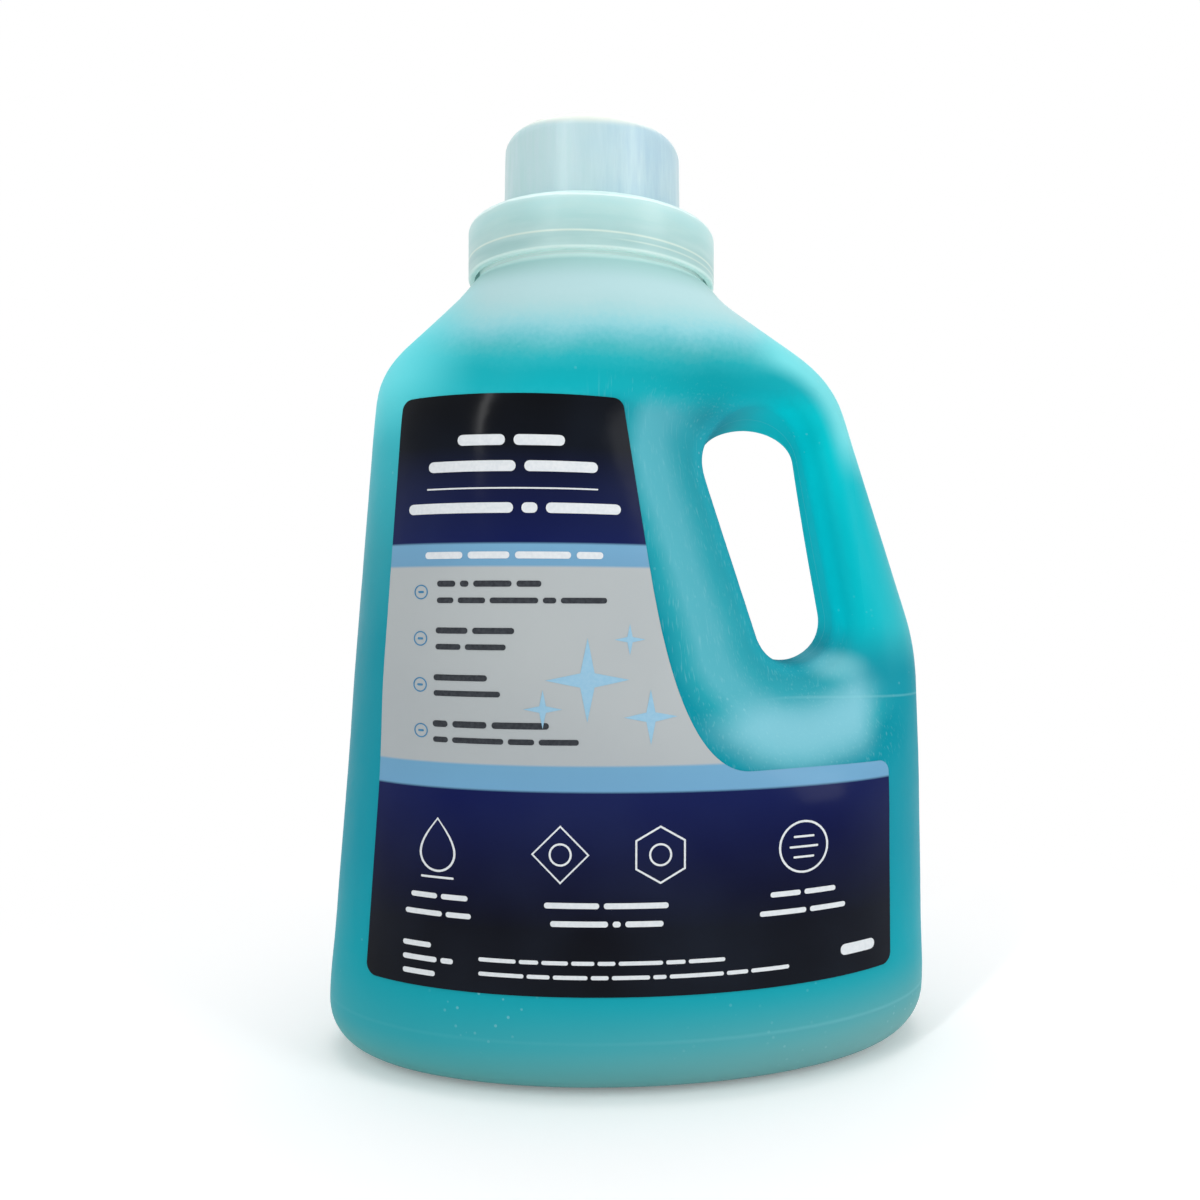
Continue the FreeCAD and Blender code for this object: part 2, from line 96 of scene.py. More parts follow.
def milky_polyethylene():
    """Natural high-density polyethylene, extrusion blow-moulded to 1.2 mm: to the eye a milky, satin skin that takes
    the liquid's turquoise where it is full, and stays pale green where it is empty."""
    made, tree, shader, point, x, y, z = plastic("blow_moulded_natural_polyethylene", {
        "IOR": 1.5, "Specular IOR Level": 0.05,
    })
    cloud = add(tree, "TexNoise", {"Vector": point, "Scale": 1 / 26, "Detail": 3.0})
    waver = add(tree, "TexNoise", {"Vector": point, "Scale": 1 / 22, "Detail": 2.0})
    foam = add(tree, "TexNoise", {"Vector": point, "Scale": 1 / 1.5, "Detail": 4.0, "Roughness": 0.7})

    # Full wall: deep turquoise, a little greyer at the heel
    full = add(tree, "MapRange", (z, 0.0, 175.0))
    full = add(tree, "ValToRGB", (full,), stops=[
        (0.0, "#58a09e"), (0.03, "#4ca4a6"), (0.075, "#25a0ac"), (0.17, "#049cab"), (0.3, "#0892a4"),
        (0.6, "#128fa0"), (0.72, "#2b9ba9"), (0.82, "#38adba"), (0.9, "#38b8c4"), (0.97, "#1fb4bd"),
    ])

    # Place against the opening: distance from its rim, and which side of it
    away = add(tree, "VectorMath", (point, OPENING_TOP), operation="SUBTRACT")
    away = add(tree, "VectorMath", (away, (1.0, 0.0, 1.0)), operation="MULTIPLY")
    square = OPENING_RUN[0] ** 2 + OPENING_RUN[2] ** 2
    unit = (OPENING_RUN[0] / square, 0.0, OPENING_RUN[2] / square)
    along = add(tree, "VectorMath", (away, unit), out="Value", operation="DOT_PRODUCT")
    along = add(tree, "MapRange", (along, 0.0, 1.0, 0.0, 1.0))
    foot = add(tree, "VectorMath", {0: OPENING_RUN, "Scale": along}, operation="SCALE")
    off = add(tree, "VectorMath", (away, foot), operation="SUBTRACT")
    reach = add(tree, "VectorMath", (off,), out="Value", operation="LENGTH")
    radius = add(tree, "MapRange", (along, 0.0, 1.0, OPENING_RADII[0], OPENING_RADII[1]))
    rim = add(tree, "Math", (reach, radius), operation="SUBTRACT")
    off_x = add(tree, "SeparateXYZ", (off,), out=0)
    off_z = add(tree, "SeparateXYZ", (off,), out=2)
    side = add(tree, "Math", (off_z, 0.8, off_x), operation="MULTIPLY_ADD")
    handle_side = add(tree, "MapRange", (side, 0.0, 14.0), interpolation_type="SMOOTHSTEP")
    column_side = add(tree, "Math", (1.0, handle_side), operation="SUBTRACT")
    under_root = add(tree, "MapRange", (z, 172.0, 160.0), interpolation_type="SMOOTHSTEP")

    # Column between label and opening, and the ramp below: a painted sheen along the crest, painted shade at the
    # opening's edge, deeper turquoise beside the crest towards the label, and a painted highlight on the ramp
    near = add(tree, "MapRange", (rim, 34.0, 26.0), interpolation_type="SMOOTHSTEP")
    near = add(tree, "Math", (near, column_side), operation="MULTIPLY")
    near = add(tree, "Math", (near, under_root), operation="MULTIPLY")
    across = add(tree, "Math", (cloud, 5.0, rim), operation="MULTIPLY_ADD")
    crest_light_and_shade = add(tree, "MapRange", (across, 0.0, 34.0))
    crest_light_and_shade = add(tree, "ValToRGB", (crest_light_and_shade,), stops=[
        (0.0, "#178899"), (0.1, "#2496a5"), (0.25, "#32a0ae"), (0.4, "#54adbb"), (0.54, "#55aebc"),
        (0.65, "#229ba9"), (0.76, "#008a9b"), (1.0, "#038c9e"),
    ])
    # painted highlight: a pale patch on the ramp below the opening
    shelf_highlight = add(tree, "Math", (x, -0.35, z), operation="MULTIPLY_ADD")
    shelf_highlight = add(tree, "MapRange", (shelf_highlight, 84.0, 73.0, 0.0, 0.68), interpolation_type="SMOOTHSTEP")
    crisp = add(tree, "MapRange", (across, 8.0, 17.0), interpolation_type="SMOOTHSTEP")
    fading = add(tree, "MapRange", (across, 30.0, 20.0), interpolation_type="SMOOTHSTEP")
    shelf_highlight = add(tree, "Math", (shelf_highlight, crisp), operation="MULTIPLY")
    shelf_highlight = add(tree, "Math", (shelf_highlight, fading), operation="MULTIPLY")
    short = add(tree, "MapRange", (x, 64.0, 55.0), interpolation_type="SMOOTHSTEP")
    shelf_highlight = add(tree, "Math", (shelf_highlight, short), operation="MULTIPLY")
    crest_light_and_shade = add(tree, "Mix", {0: shelf_highlight, 6: crest_light_and_shade, 7: "#8ecbd9"}, out=2, data_type="RGBA")
    colour = add(tree, "Mix", {0: near, 6: full, 7: crest_light_and_shade}, out=2, data_type="RGBA")

    # Handle: narrow and bright, with painted light along the opening's rim that is strongest near its top, and a
    # painted highlight along its outer edge
    on_grip = add(tree, "MapRange", (z, 95.0, 111.0), interpolation_type="SMOOTHSTEP")
    beside = add(tree, "MapRange", (x, 26.0, 38.0), interpolation_type="SMOOTHSTEP")
    on_grip = add(tree, "Math", (on_grip, handle_side), operation="MULTIPLY")
    on_grip = add(tree, "Math", (on_grip, beside), operation="MULTIPLY")
    outer = add(tree, "MapRange", (rim, 0.0, 26.0))
    grip_tone_and_light = add(tree, "ValToRGB", (outer,), stops=[
        (0.0, "#02c6d1"), (0.12, "#00bcc8"), (0.25, "#00b8c3"), (0.45, "#14b6c1"), (0.7, "#38b4be"),
        (1.0, "#5abcc5"),
    ])
    rim_painted_light = add(tree, "MapRange", (z, 128.0, 158.0, 0.0, 0.6), interpolation_type="SMOOTHSTEP")
    inner = add(tree, "MapRange", (rim, 11.0, 5.0), interpolation_type="SMOOTHSTEP")
    rim_painted_light = add(tree, "Math", (rim_painted_light, inner), operation="MULTIPLY")
    grip_tone_and_light = add(tree, "Mix", {0: rim_painted_light, 6: grip_tone_and_light, 7: "#00ccd4"}, out=2, data_type="RGBA")
    colour = add(tree, "Mix", {0: on_grip, 6: colour, 7: grip_tone_and_light}, out=2, data_type="RGBA")

    # Gleam where the handle's foot swells out
    swelling = add(tree, "VectorMath", (point, HANDLE_SWELL), operation="SUBTRACT")
    swelling = add(tree, "VectorMath", (swelling, (0.8, 0.0, 1.5)), operation="MULTIPLY")
    swelling = add(tree, "VectorMath", (swelling,), out="Value", operation="LENGTH")
    swelling = add(tree, "MapRange", (swelling, 8.0, 1.0, 0.0, 0.5), interpolation_type="SMOOTHSTEP")
    colour = add(tree, "Mix", {0: swelling, 6: colour, 7: "#8ed3dd"}, out=2, data_type="RGBA")

    # Liquid line: it wavers, dips at front and back, and ends in fine foam
    dip = add(tree, "Math", (y,), operation="ABSOLUTE")
    line = add(tree, "Math", (dip, 0.17, z), operation="MULTIPLY_ADD")
    line = add(tree, "Math", (waver, 5.0, line), operation="MULTIPLY_ADD")
    line = add(tree, "Math", (foam, 3.4, line), operation="MULTIPLY_ADD")
    level = add(tree, "MapRange", (line, 172.0, 198.0))
    head = add(tree, "ValToRGB", (level,), stops=[
        (0.0, "#0cadb9"), (0.24, "#10a8b3"), (0.36, "#27aeb8"), (0.46, "#4cb5bd"), (0.56, "#6dc0c9"),
        (0.66, "#8dccd4"), (0.76, "#a0d1d6"), (0.9, "#afd4d7"), (1.0, "#b3d6d9"),
    ])
    above = add(tree, "MapRange", (line, 168.0, 176.0), interpolation_type="SMOOTHSTEP")
    colour = add(tree, "Mix", {0: above, 6: colour, 7: head}, out=2, data_type="RGBA")

    # Painted highlights where the wall turns away: over the handle, and along the shoulder on the pouring side
    crown_highlight = add(tree, "MapRange", (z, 144.0, 160.0), interpolation_type="SMOOTHSTEP")
    brow = add(tree, "MapRange", (rim, 6.0, 12.0), interpolation_type="SMOOTHSTEP")
    crown_highlight = add(tree, "Math", (crown_highlight, brow), operation="MULTIPLY")
    crown_highlight = add(tree, "Math", (crown_highlight, on_grip), operation="MULTIPLY")
    colour = add(tree, "Mix", {0: crown_highlight, 6: colour, 7: "#76d8de"}, out=2, data_type="RGBA")
    edge_highlight = add(tree, "MapRange", (x, -34.0, -60.0), interpolation_type="SMOOTHSTEP")
    high = add(tree, "MapRange", (z, 150.0, 170.0), interpolation_type="SMOOTHSTEP")
    edge_highlight = add(tree, "Math", (edge_highlight, high), operation="MULTIPLY")
    colour = add(tree, "Mix", {0: edge_highlight, 6: colour, 7: "#64dde6"}, out=2, data_type="RGBA")

    # Neck: painted shade, darker and greener, under the collar, and a painted highlight where the collar's foot sends
    # light back
    neck_shade_and_light = add(tree, "MapRange", (z, 190.5, 196.5, 0.0, 0.8), interpolation_type="SMOOTHSTEP")
    colour = add(tree, "Mix", {0: neck_shade_and_light, 6: colour, 7: "#9fcbc9"}, out=2, data_type="RGBA")
    neck_shade_and_light = add(tree, "MapRange", (z, 196.4, 197.8))
    colour = add(tree, "Mix", {0: neck_shade_and_light, 6: colour, 7: "#e2fbf8"}, out=2, data_type="RGBA")

    # Heel: painted light, paler and greyer towards the handle, where more light falls from the right
    heel_painted_light = add(tree, "MapRange", (z, 26.0, 4.0), interpolation_type="SMOOTHSTEP")
    toward = add(tree, "MapRange", (x, -50.0, 60.0, 0.15, 0.9))
    heel_painted_light = add(tree, "Math", (heel_painted_light, toward), operation="MULTIPLY")
    colour = add(tree, "Mix", {0: heel_painted_light, 6: colour, 7: "#72a6a7"}, out=2, data_type="RGBA")

    # Marks of the mould: the line of the handle insert, the ring above the heel, the parting line at both sides
    insert = add(tree, "Math", (z, INSERT_LINE), operation="SUBTRACT")
    insert = add(tree, "Math", (insert,), operation="ABSOLUTE")
    insert = add(tree, "MapRange", (insert, 0.45, 0.1))
    past = add(tree, "MapRange", (x, 30.0, 44.0, 0.0, 0.7))
    insert = add(tree, "Math", (insert, past), operation="MULTIPLY")
    ring = add(tree, "Math", (z, HEEL_RING), operation="SUBTRACT")
    ring = add(tree, "Math", (ring,), operation="ABSOLUTE")
    ring = add(tree, "MapRange", (ring, 0.6, 0.1, 0.0, 0.5))
    part_way = add(tree, "MapRange", (x, -10.0, 50.0, 0.25, 1.0))
    ring = add(tree, "Math", (ring, part_way), operation="MULTIPLY")
    parting = add(tree, "MapRange", (dip, 0.3, 0.05))
    marks = add(tree, "Math", (insert, ring), operation="MAXIMUM")
    marks = add(tree, "Math", (marks, parting), operation="MAXIMUM")
    # the marks are real; the pale line drawn along them is a painted highlight
    pale = add(tree, "Math", (marks, 0.3), operation="MULTIPLY")
    colour = add(tree, "Mix", {0: pale, 6: colour, 7: "#8fd3da"}, out=2, data_type="RGBA")

    # Handling: pale specks of 0.4 mm and fine upright scratches, more of them where the light catches
    speck = add(tree, "TexVoronoi", {"Vector": point, "Scale": 1 / 2.6}, out="Distance")
    speck = add(tree, "MapRange", (speck, 0.16, 0.1))
    patch = add(tree, "MapRange", (cloud, 0.54, 0.7, 0.0, 0.26))
    speck = add(tree, "Math", (speck, patch), operation="MULTIPLY")
    drawn = add(tree, "Mapping", {"Vector": point, "Scale": (1.0, 1.0, 0.04), "Rotation": (0.0, 0.25, 0.0)})
    scratch = add(tree, "TexNoise", {"Vector": drawn, "Scale": 1 / 0.55, "Detail": 1.0})
    scratch = add(tree, "MapRange", (scratch, 0.58, 0.8, 0.0, 0.12))
    scratch = add(tree, "Math", (scratch, near), operation="MULTIPLY")
    wear = add(tree, "Math", (speck, scratch), operation="MAXIMUM")
    colour = add(tree, "Mix", {0: wear, 6: colour, 7: "#b5e2e6"}, out=2, data_type="RGBA")
    tree.links.new(colour, shader.inputs["Base Color"])

    # Painted light: a faint glow at the neck and inside the opening, standing in for light that the thin plastic
    # passes
    tree.links.new(colour, shader.inputs["Emission Color"])
    painted_glow = add(tree, "MapRange", (z, 196.0, 197.2, 0.0, 0.15))
    lit = add(tree, "MapRange", (rim, 4.0, 0.5, 0.0, 0.19), interpolation_type="SMOOTHSTEP")
    lit = add(tree, "Math", (lit, under_root), operation="MULTIPLY")
    painted_glow = add(tree, "Math", (painted_glow, lit), operation="MAXIMUM")
    tree.links.new(painted_glow, shader.inputs["Emission Strength"])

    # Satin and slightly uneven, matt inside the opening
    sheen = add(tree, "MapRange", (cloud, 0.3, 0.7, 0.36, 0.5))
    inside = add(tree, "MapRange", (rim, 6.0, 1.0, 0.0, 0.5), interpolation_type="SMOOTHSTEP")
    sheen = add(tree, "Math", (sheen, inside), operation="ADD")
    tree.links.new(sheen, shader.inputs["Roughness"])

    # Relief: the mould's blasted grain, waves of 16 mm from blowing, and the mould's marks
    grain = add(tree, "TexNoise", {"Vector": point, "Scale": 1 / 0.9, "Detail": 2.0})
    relief = add(tree, "Bump", {"Height": grain, "Distance": 0.03 * MM, "Strength": 0.3})
    swell = add(tree, "TexNoise", {"Vector": point, "Scale": 1 / 16, "Detail": 2.0})
    relief = add(tree, "Bump", {"Height": swell, "Distance": 0.5 * MM, "Strength": 0.25, "Normal": relief})
    relief = add(tree, "Bump", {"Height": marks, "Distance": 0.15 * MM, "Strength": 0.6, "Normal": relief})
    tree.links.new(relief, shader.inputs["Normal"])
    return made


def turquoise_liquid():
    """Detergent, a clear dyed liquid: smooth and glossy, with slow clouds of dye."""
    made, tree, shader, point, x, y, z = plastic("turquoise_liquid", {
        "Roughness": 0.05, "IOR": 1.36, "Transmission Weight": 0.6,
    })
    dye = add(tree, "TexNoise", {"Vector": point, "Scale": 1 / 40, "Detail": 2.0})
    colour = add(tree, "Mix", {0: dye, 6: "#12a6b4", 7: "#0fb4c0"}, out=2, data_type="RGBA")
    tree.links.new(colour, shader.inputs["Base Color"])
    return made


def collar_polypropylene():
    """Natural polypropylene, injection-moulded, 1.5 mm: waxy, pale green, its thread shows through as cream lines."""
    made, tree, shader, point, x, y, z = plastic("moulded_natural_polypropylene", {
        "IOR": 1.49, "Roughness": 0.34, "Specular IOR Level": 0.3, "Subsurface Weight": 0.4,
        "Subsurface Radius": (0.8, 1.0, 1.0), "Subsurface Scale": 0.002, "Emission Color": "#a9d2cf",
    })
    cloud = add(tree, "TexNoise", {"Vector": point, "Scale": 1 / 9, "Detail": 3.0})
    height = add(tree, "Math", (cloud, 2.0, z), operation="MULTIPLY_ADD")
    height = add(tree, "MapRange", (height, 199.0, 213.5))
    # tone by height; the palest stop at the top is a painted highlight on the rounded top corner
    colour = add(tree, "ValToRGB", (height,), stops=[
        (0.0, "#aacdcb"), (0.2, "#a2c8c7"), (0.42, "#aed1d0"), (0.55, "#acd3d2"), (0.8, "#b6dddd"),
        (1.0, "#c8e6e6"),
    ])
    # level bands of flow from the gate
    flow = add(tree, "Mapping", {"Vector": point, "Scale": (0.12, 0.12, 1.0)})
    flow = add(tree, "TexNoise", {"Vector": flow, "Scale": 1 / 2.2, "Detail": 3.0})
    flow = add(tree, "MapRange", (flow, 0.42, 0.7, 0.0, 0.4))
    colour = add(tree, "Mix", {0: flow, 6: colour, 7: "#c6e0dc"}, out=2, data_type="RGBA")
    # the moulded shoulder under the rim: a broken line of light
    glint = add(tree, "Math", (flow, 1.6, z), operation="MULTIPLY_ADD")
    glint = add(tree, "Math", (glint, COLLAR_SHOULDER), operation="SUBTRACT")
    glint = add(tree, "Math", (glint,), operation="ABSOLUTE")
    glint = add(tree, "MapRange", (glint, 0.35, 0.1, 0.0, 0.7))
    colour = add(tree, "Mix", {0: glint, 6: colour, 7: "#e8fbfa"}, out=2, data_type="RGBA")
    # thread behind the skirt: one turn climbs 3 mm, and the next shows under it on the handle side
    across = add(tree, "Math", (x, NECK_X), operation="SUBTRACT")
    turn = add(tree, "Math", (y, across), operation="ARCTAN2")
    start = add(tree, "Math", (turn, -THREAD_CLIMB, THREAD_HEIGHT), operation="MULTIPLY_ADD")
    rise = add(tree, "Math", (z, start), operation="SUBTRACT")
    first = add(tree, "Math", (rise,), operation="ABSOLUTE")
    first = add(tree, "MapRange", (first, 0.38, 0.05, 0.0, 0.6))
    second = add(tree, "Math", (rise, THREAD_PITCH), operation="ADD")
    second = add(tree, "Math", (second,), operation="ABSOLUTE")
    second = add(tree, "MapRange", (second, 0.32, 0.05, 0.0, 0.45))
    right = add(tree, "MapRange", (across, 4.0, 12.0))
    second = add(tree, "Math", (second, right), operation="MULTIPLY")
    thread = add(tree, "Math", (first, second), operation="MAXIMUM")
    colour = add(tree, "Mix", {0: thread, 6: colour, 7: "#e6efe2"}, out=2, data_type="RGBA")
    # painted highlight along the bottom edge of the skirt
    foot = add(tree, "MapRange", (z, 199.1, 198.7, 0.0, 0.9))
    colour = add(tree, "Mix", {0: foot, 6: colour, 7: "#cfe6e1"}, out=2, data_type="RGBA")
    tree.links.new(colour, shader.inputs["Base Color"])
    # painted light: the thin foot glows faintly, standing in for light that it passes
    painted_glow = add(tree, "MapRange", (z, 198.9, 198.4, 0.0, 0.1))
    tree.links.new(painted_glow, shader.inputs["Emission Strength"])
    grain = add(tree, "TexNoise", {"Vector": point, "Scale": 1 / 1.2, "Detail": 2.0})
    relief = add(tree, "Bump", {"Height": grain, "Distance": 0.02 * MM, "Strength": 0.3})
    relief = add(tree, "Bump", {"Height": thread, "Distance": 0.1 * MM, "Strength": 0.4, "Normal": relief})
    tree.links.new(relief, shader.inputs["Normal"])
    return made


def cap_polypropylene():
    """Clarified polypropylene, injection-moulded, 1.5 mm: bluish and waxy, fine upright lines drawn by its core."""
    made, tree, shader, point, x, y, z = plastic("moulded_clarified_polypropylene", {
        "IOR": 1.49, "Roughness": 0.3, "Specular IOR Level": 0.3, "Subsurface Weight": 0.4,
        "Subsurface Radius": (0.8, 1.0, 1.0), "Subsurface Scale": 0.002,
    })
    across = add(tree, "Math", (x, NECK_X), operation="SUBTRACT")
    turn = add(tree, "Math", (across, y), operation="ARCTAN2")
    turned = add(tree, "CombineXYZ", (turn, None, add(tree, "Math", (z, 0.004), operation="MULTIPLY")))
    streak = add(tree, "TexNoise", {"Vector": turned, "Scale": 14.0, "Detail": 4.0, "Roughness": 0.65})
    streak = add(tree, "MapRange", (streak, 0.35, 0.68))
    broad = add(tree, "TexNoise", {"Vector": point, "Scale": 1 / 15, "Detail": 2.0})
    side = add(tree, "MapRange", (across, -22.0, 22.0))
    base = add(tree, "ValToRGB", (side,), stops=[
        (0.0, "#b0d5d5"), (0.2, "#bddcde"), (0.5, "#bcd8dc"), (0.72, "#b3d0db"), (0.9, "#b0ccd9"), (1.0, "#a8c9d2"),
    ])
    colour = add(tree, "Mix", {0: streak, 6: base, 7: "#c3dce1"}, out=2, data_type="RGBA")
    cool = add(tree, "MapRange", (broad, 0.4, 0.7, 0.0, 0.6))
    cool = add(tree, "Math", (cool, side), operation="MULTIPLY")
    colour = add(tree, "Mix", {0: cool, 6: colour, 7: "#a9cbdd"}, out=2, data_type="RGBA")
    # painted highlight: a cream crescent over the front of the top edge
    bow = add(tree, "Math", (across, across), operation="MULTIPLY")
    bow = add(tree, "Math", (bow, -0.007, z), operation="MULTIPLY_ADD")
    edge_highlight = add(tree, "MapRange", (bow, 231.6, 234.0, 0.0, 0.8), interpolation_type="SMOOTHSTEP")
    colour = add(tree, "Mix", {0: edge_highlight, 6: colour, 7: "#edf0e4"}, out=2, data_type="RGBA")
    tree.links.new(colour, shader.inputs["Base Color"])
    relief = add(tree, "Bump", {"Height": streak, "Distance": 0.04 * MM, "Strength": 0.4})
    grain = add(tree, "TexNoise", {"Vector": point, "Scale": 1.0, "Detail": 2.0})
    relief = add(tree, "Bump", {"Height": grain, "Distance": 0.015 * MM, "Strength": 0.3, "Normal": relief})
    tree.links.new(relief, shader.inputs["Normal"])
    return made


def printed_film():
    """Polypropylene label film, printed and varnished: near-black, navy, light blue and warm grey fields, glossy."""
    made, tree, shader, point, x, y, z = plastic("printed_gloss_film", {
        "IOR": 1.5, "Roughness": 0.17, "Specular IOR Level": 0.06,
    })
    height = add(tree, "MapRange", (z, 20.0, 170.0))
    # the fields of print, by height in millimetres
    marks = [
        (27, "#050508"), (40, "#060710"), (54, "#090e33"), (69, "#08124a"), (71.4, "#08124a"), (71.5, "#6fa3c6"),
        (77.0, "#6fa3c4"), (77.1, "#aeb4b6"), (122.1, "#b2b8b9"), (122.2, "#6f9fc0"), (127.3, "#73a5c6"),
        (127.4, "#08134a"), (140, "#0b1238"), (150, "#04070f"), (162, "#040507"),
    ]
    colour = add(tree, "ValToRGB", (height,), stops=[((mark - 20) / 150, code) for mark, code in marks])
    tone = add(tree, "TexNoise", {"Vector": point, "Scale": 1 / 35, "Detail": 2.0})
    tone = add(tree, "MapRange", (tone, 0.3, 0.7, 0.0, 0.06))
    colour = add(tree, "Mix", {0: tone, 6: colour, 7: "#5a6b8a"}, out=2, data_type="RGBA")
    tree.links.new(colour, shader.inputs["Base Color"])
    # the film was drawn on by a roller: long low ripples
    drawn = add(tree, "Mapping", {"Vector": point, "Scale": (1.0, 1.0, 0.25)})
    ripple = add(tree, "TexNoise", {"Vector": drawn, "Scale": 1 / 16, "Detail": 2.0, "Roughness": 0.4})
    relief = add(tree, "Bump", {"Height": ripple, "Distance": 0.3 * MM, "Strength": 0.4})
    tree.links.new(relief, shader.inputs["Normal"])
    return made


def ink(name, code, wear):
    """Printing ink on the film, a few microns thick: flat colour, slightly broken by the film's texture."""
    made, tree, shader, point, x, y, z = plastic(name, {"IOR": 1.5, "Roughness": 0.3, "Specular IOR Level": 0.045})
    grain = add(tree, "TexNoise", {"Vector": point, "Scale": 1 / 0.8, "Detail": 2.0})
    grain = add(tree, "MapRange", (grain, 0.35, 0.7, 0.0, 0.35))
    colour = add(tree, "Mix", {0: grain, 6: code, 7: wear}, out=2, data_type="RGBA")
    tree.links.new(colour, shader.inputs["Base Color"])
    return made


def dress(node, made):
    """Gives a CAD node its material."""
    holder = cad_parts[node]
    holder.data.materials.clear()
    holder.data.materials.append(made)


dress("bottle", milky_polyethylene())
dress("detergent", turquoise_liquid())
dress("spout_collar", collar_polypropylene())
dress("dosing_cap", cap_polypropylene())
dress("front_label", printed_film())

# Print on the label: plain bars and simple shapes


def pick(piece, wanted):
    """Selects the points that pass the test, and goes back into edit mode."""
    bpy.ops.object.mode_set(mode="EDIT")
    bpy.ops.mesh.select_all(action="DESELECT")
    bpy.ops.object.mode_set(mode="OBJECT")
    for point in piece.data.vertices:
        point.select = wanted(point.co)
    bpy.ops.object.mode_set(mode="EDIT")


def bar(left, right, middle, height):
    """A bar with round ends, in millimetres, standing in front of the label."""
    spot = ((left + right) / 2 * MM, INK_START, middle * MM)
    bpy.ops.mesh.primitive_grid_add(x_subdivisions=max(2, int((right - left) / 2)), y_subdivisions=1, size=1,
                                    location=spot, rotation=(math.pi / 2, 0, 0))
    piece = bpy.context.object
    bpy.ops.object.mode_set(mode="EDIT")
    bpy.ops.transform.resize(value=((right - left) * MM, 1, height * MM))
    end = (right - left) / 2 * MM - 1e-5
    pick(piece, lambda co: abs(co.x) > end)
    bpy.ops.mesh.bevel(offset=height * MM * 0.46, segments=4, affect="VERTICES")
    bpy.ops.object.mode_set(mode="OBJECT")
    return piece


def words(left, middle, height, lengths):
    """A line of bars with small gaps, in the place of one line of lettering."""
    row = []
    for length in lengths:
        row.append(bar(left, left + length, middle, height))
        left += length + height * 0.8
    return row


def hoop(middle, height, radius, stroke, corners=40):
    """A flat ring in front of the label, in millimetres; with few corners, a frame."""
    bpy.ops.mesh.primitive_circle_add(vertices=corners, radius=radius * MM, rotation=(math.pi / 2, 0, 0),
                                      location=(middle * MM, INK_START, height * MM))
    bpy.ops.object.mode_set(mode="EDIT")
    bpy.ops.mesh.extrude_edges_move()
    bpy.ops.transform.resize(value=(1 - stroke / radius,) * 3)
    bpy.ops.object.mode_set(mode="OBJECT")
    return bpy.context.object


def drop(middle, height, radius, stroke):
    """An outlined drop: a ring whose top is drawn up to a point."""
    piece = hoop(middle, height, radius, stroke)
    pick(piece, lambda co: abs(co.x) < 1e-5 and co.y > 0)
    bpy.ops.transform.translate(
        value=(0, 0, radius * 0.85 * MM), use_proportional_edit=True, proportional_edit_falloff="SHARP",
        proportional_size=radius * 1.3 * MM,
    )
    bpy.ops.object.mode_set(mode="OBJECT")
    return piece


def sparkle(middle, height, reach):
    """A four-pointed star, cut fine enough to follow the label's curve."""
    bpy.ops.mesh.primitive_circle_add(vertices=8, radius=reach * MM, fill_type="TRIFAN", rotation=(math.pi / 2, 0, 0),
                                      location=(middle * MM, INK_START, height * MM))
    piece = bpy.context.object
    pick(piece, lambda co: min(abs(co.x), abs(co.y)) > reach * MM * 0.5)
    bpy.ops.transform.resize(value=(0.24, 0.24, 0.24))
    bpy.ops.mesh.select_all(action="SELECT")
    bpy.ops.mesh.subdivide(number_cuts=5)
    bpy.ops.object.mode_set(mode="OBJECT")
    return piece


def printed(name, pieces, made):
    """Joins the pieces, lays them on the label and gives them the ink."""
    bpy.ops.object.select_all(action="DESELECT")
    for piece in pieces:
        piece.select_set(True)
    bpy.context.view_layer.objects.active = pieces[0]
    if len(pieces) > 1:
        bpy.ops.object.join()
    piece = bpy.context.object
    piece.name = name
    bpy.ops.object.transform_apply(location=True, rotation=True, scale=True)
    bpy.ops.object.mode_set(mode="EDIT")
    bpy.ops.mesh.select_all(action="SELECT")
    bpy.ops.mesh.normals_make_consistent(inside=False)
    bpy.ops.object.mode_set(mode="OBJECT")
    if sum(face.normal.y * face.area for face in piece.data.polygons) > 0:
        bpy.ops.object.mode_set(mode="EDIT")
        bpy.ops.mesh.flip_normals()
        bpy.ops.object.mode_set(mode="OBJECT")
    fit = piece.modifiers.new("laid_on", "SHRINKWRAP")
    fit.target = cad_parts["front_label"]
    fit.wrap_method = "PROJECT"
    fit.use_project_y = True
    fit.use_positive_direction = True
    fit.use_negative_direction = False
    fit.offset = INK_LIFT
    bpy.ops.object.modifier_apply(modifier=fit.name)
    film = piece.modifiers.new("ink", "SOLIDIFY")
    film.thickness = INK_THICKNESS
    film.offset = 1.0
    bpy.ops.object.modifier_apply(modifier=film.name)
    piece.data.materials.clear()
    piece.data.materials.append(made)
    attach(piece, "bottle")
    bpy.ops.object.select_all(action="DESELECT")
    return piece


# Head, light band, base panel and the four signs over it
white = words(-41.0, 151.2, 2.5, [11.0, 11.6]) + words(-48.0, 145.2, 2.5, [20.5, 16.6])
white += words(-53.0, 135.6, 2.4, [25.0, 3.6, 17.0]) + [bar(-48.4, -8.8, 140.1, 0.35)]
white += words(-48.6, 124.8, 1.6, [9.0, 9.6, 12.6, 6.0])
white += words(-52.0, 46.3, 1.2, [6.4, 6.4]) + words(-53.4, 42.3, 1.2, [9.0, 6.0])
white += words(-20.6, 45.8, 1.3, [12.4, 14.6]) + words(-19.2, 41.7, 1.3, [13.0, 1.8, 8.6])
white += words(31.2, 46.6, 1.2, [7.4, 8.0]) + words(28.6, 42.4, 1.2, [11.4, 9.2])
white += words(-54.0, 34.9, 1.2, [7.0]) + words(-54.0, 31.7, 1.2, [8.4, 3.0]) + words(-54.0, 28.5, 1.2, [8.0])
white += words(-35.6, 32.9, 0.9, [8.6, 4.4, 6.0, 5.2, 4.0, 10.0, 4.4, 8.4])
